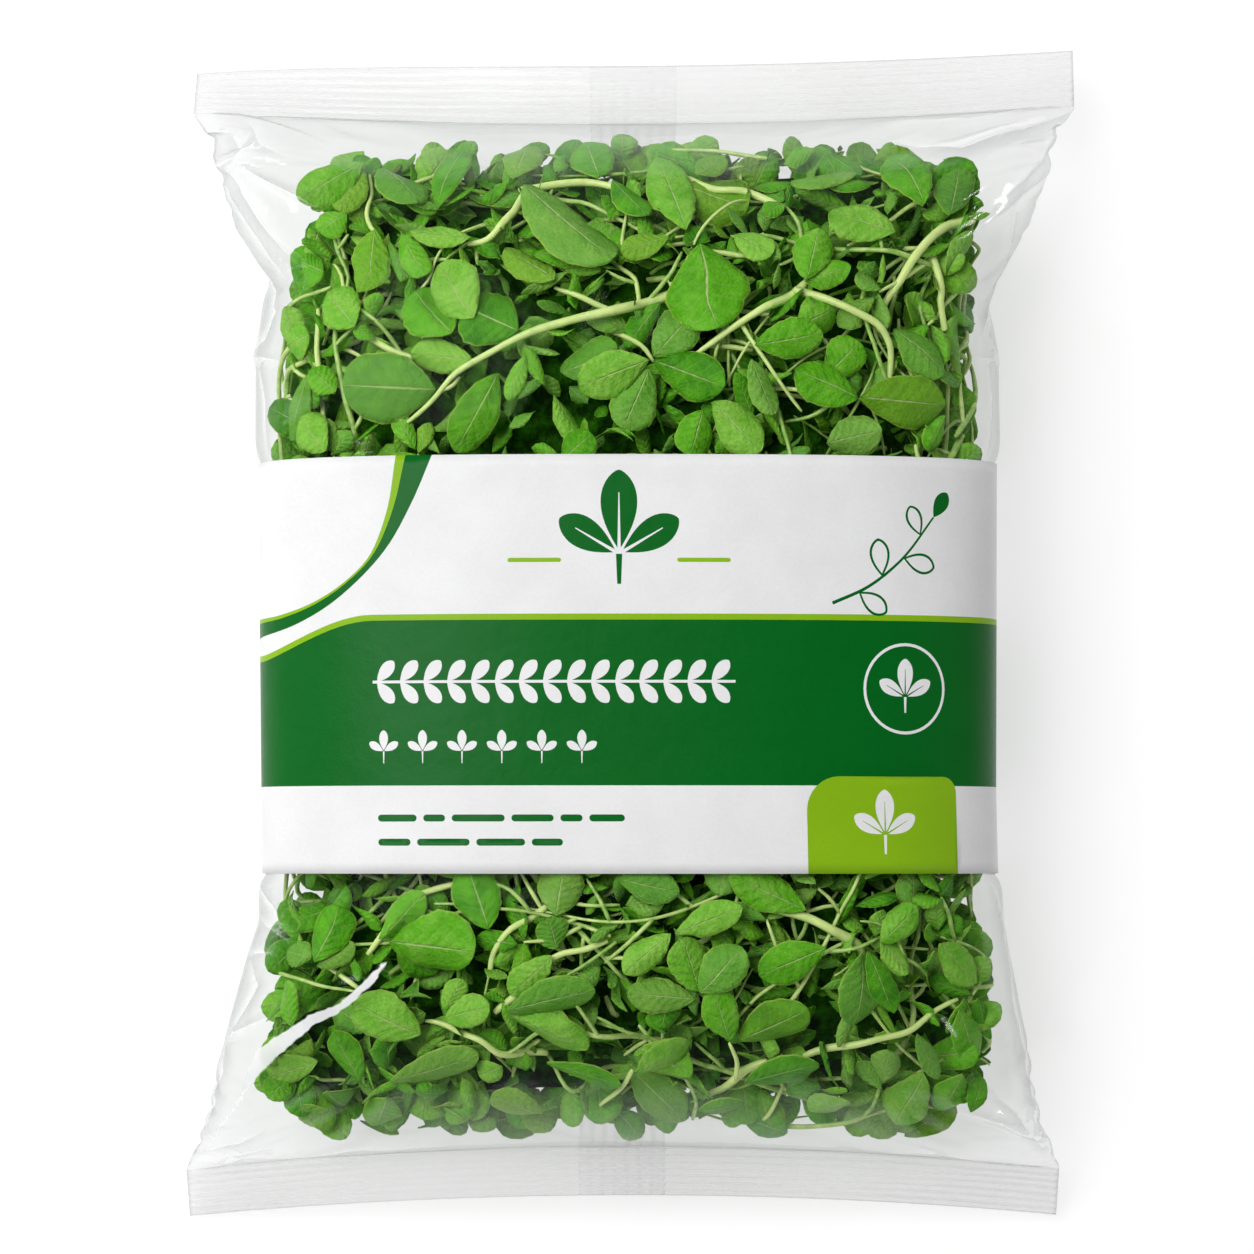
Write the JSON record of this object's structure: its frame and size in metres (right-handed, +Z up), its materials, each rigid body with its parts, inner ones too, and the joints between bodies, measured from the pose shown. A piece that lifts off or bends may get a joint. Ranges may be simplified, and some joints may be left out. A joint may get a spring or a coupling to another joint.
{
  "type": "bag of fenugreek leaves",
  "caption": "Clear sealed pillow bag packed with fresh fenugreek leaves, crimped at both ends, with a plain printed band wrapped round its middle, lying on its back.",
  "frame": {"origin": "under the middle of the bag, on the plane that it rests on", "axes": "+X across the bag to the right as seen from the front, +Y along it to its top end, +Z up through its front face"},
  "size_m": [0.2006, 0.2639, 0.0581],
  "materials": {
    "filled_film": "clear glossy film over green leaves",
    "printed_band": "satin print, white with fields of dark green and lime",
    "clear_film": "clear glossy film",
    "leaf": "soft leaf surface with pale veins",
    "stem": "smooth pale green stem"
  },
  "bodies": {
    "root": {"film_bag": "filled_film", "label_band": "printed_band"}
  },
  "joints": []
}
